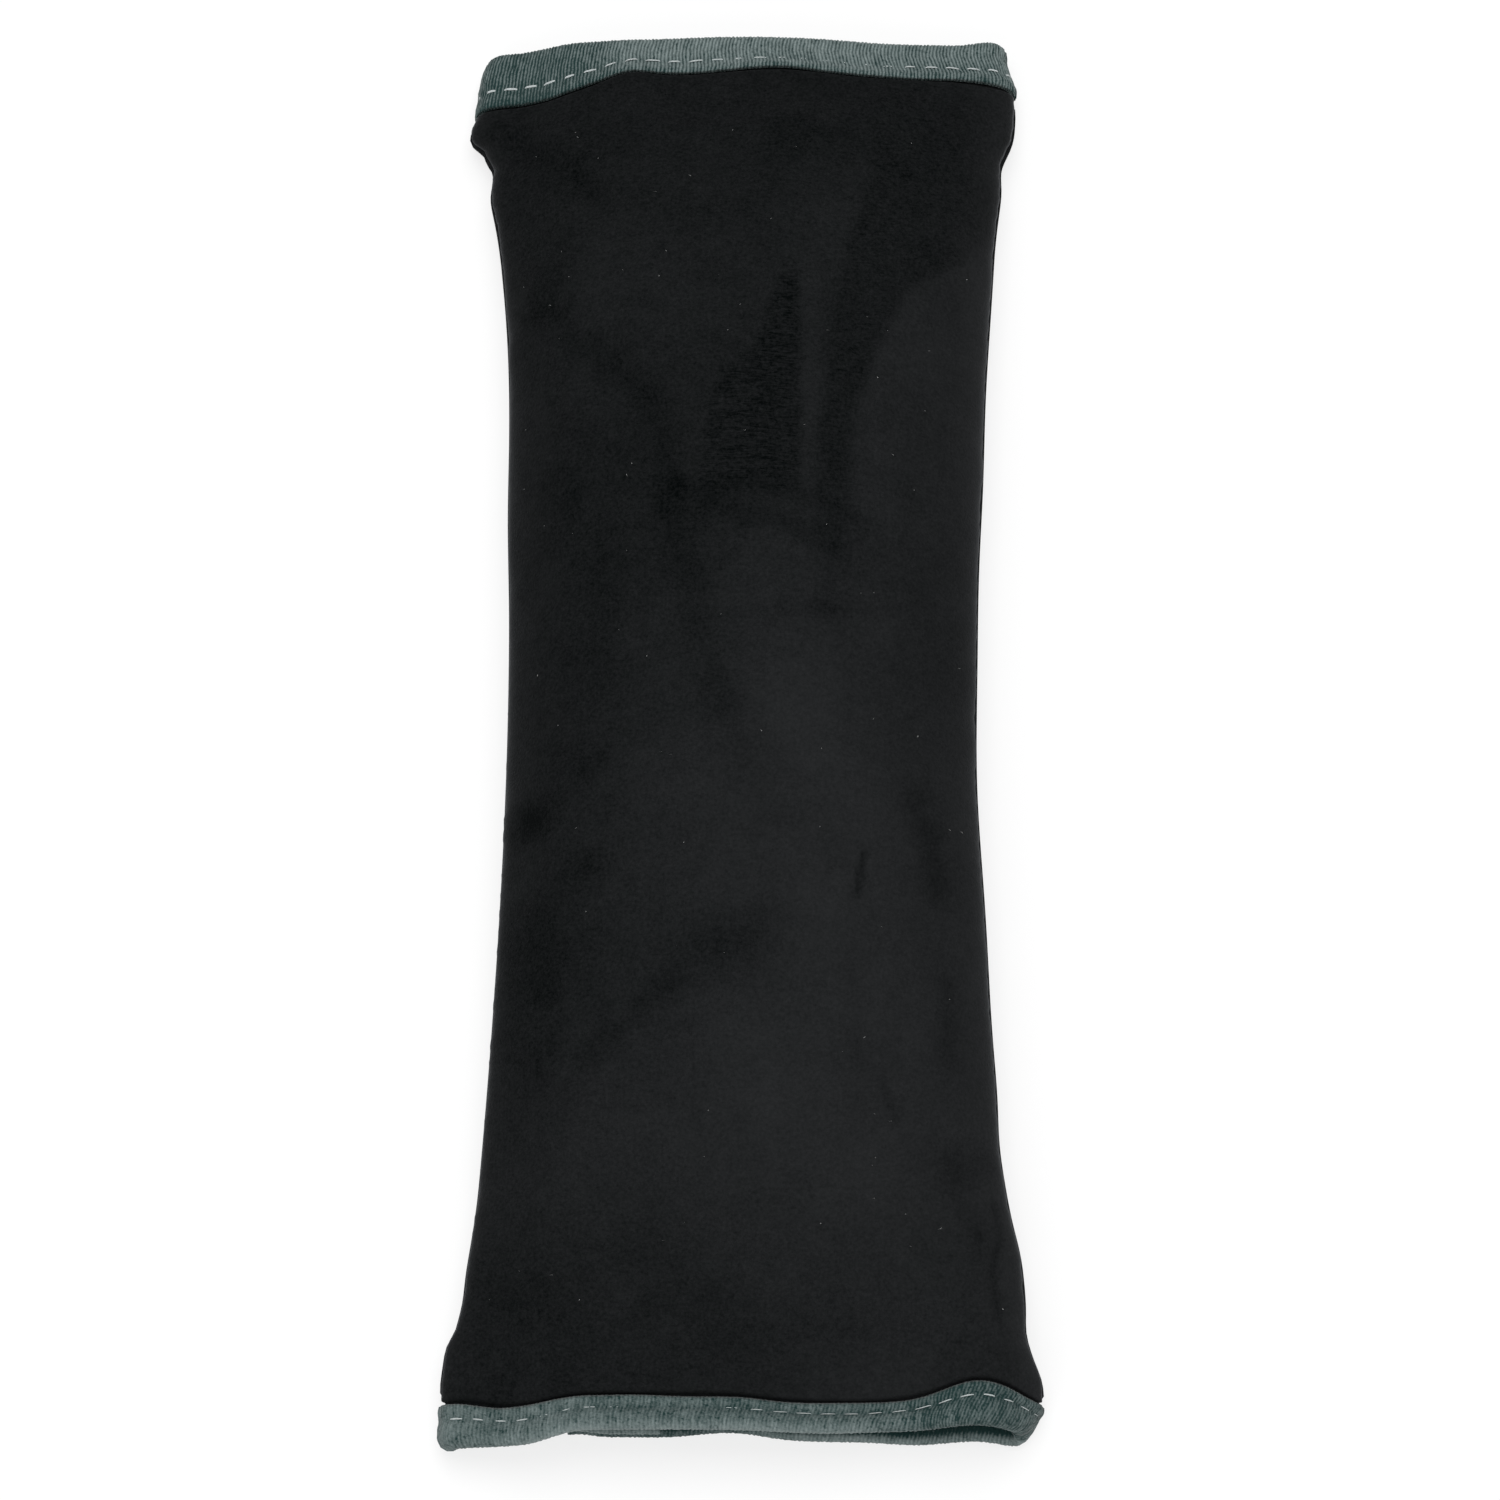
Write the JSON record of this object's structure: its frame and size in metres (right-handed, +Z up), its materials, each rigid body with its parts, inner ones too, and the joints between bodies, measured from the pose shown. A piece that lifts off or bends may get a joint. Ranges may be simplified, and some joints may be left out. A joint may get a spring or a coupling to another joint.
{
  "type": "seat belt shoulder pad",
  "caption": "Padded black velour sleeve for a car's shoulder belt, with grey-teal ribbed bindings at its open ends and a hook and loop closure underneath.",
  "frame": {"origin": "on the surface that the pad lies on, in the middle of its length and width", "axes": "+Z up through the plump face, +Y along the pad to its far mouth, +X across it"},
  "size_m": [0.109, 0.2824, 0.036],
  "materials": {
    "black_velour": "matte velour",
    "black_lining": "plain weave",
    "white_fibre_fill": "loose fibre",
    "black_hook_tape": "woven hooks",
    "black_loop_tape": "brushed loops",
    "grey_teal_rib_knit": "fine rib knit",
    "light_grey_thread": "twisted thread",
    "black_thread": "twisted thread",
    "white_lint": "loose fibre"
  },
  "bodies": {
    "root": {"upper_panel": "black_velour", "lower_panel": "black_velour", "closing_flap": "black_velour", "channel_lining": "black_lining", "padding_core": "white_fibre_fill", "hook_strip": "black_hook_tape", "loop_strip": "black_loop_tape", "near_mouth_binding": "grey_teal_rib_knit", "far_mouth_binding": "grey_teal_rib_knit"}
  },
  "joints": []
}
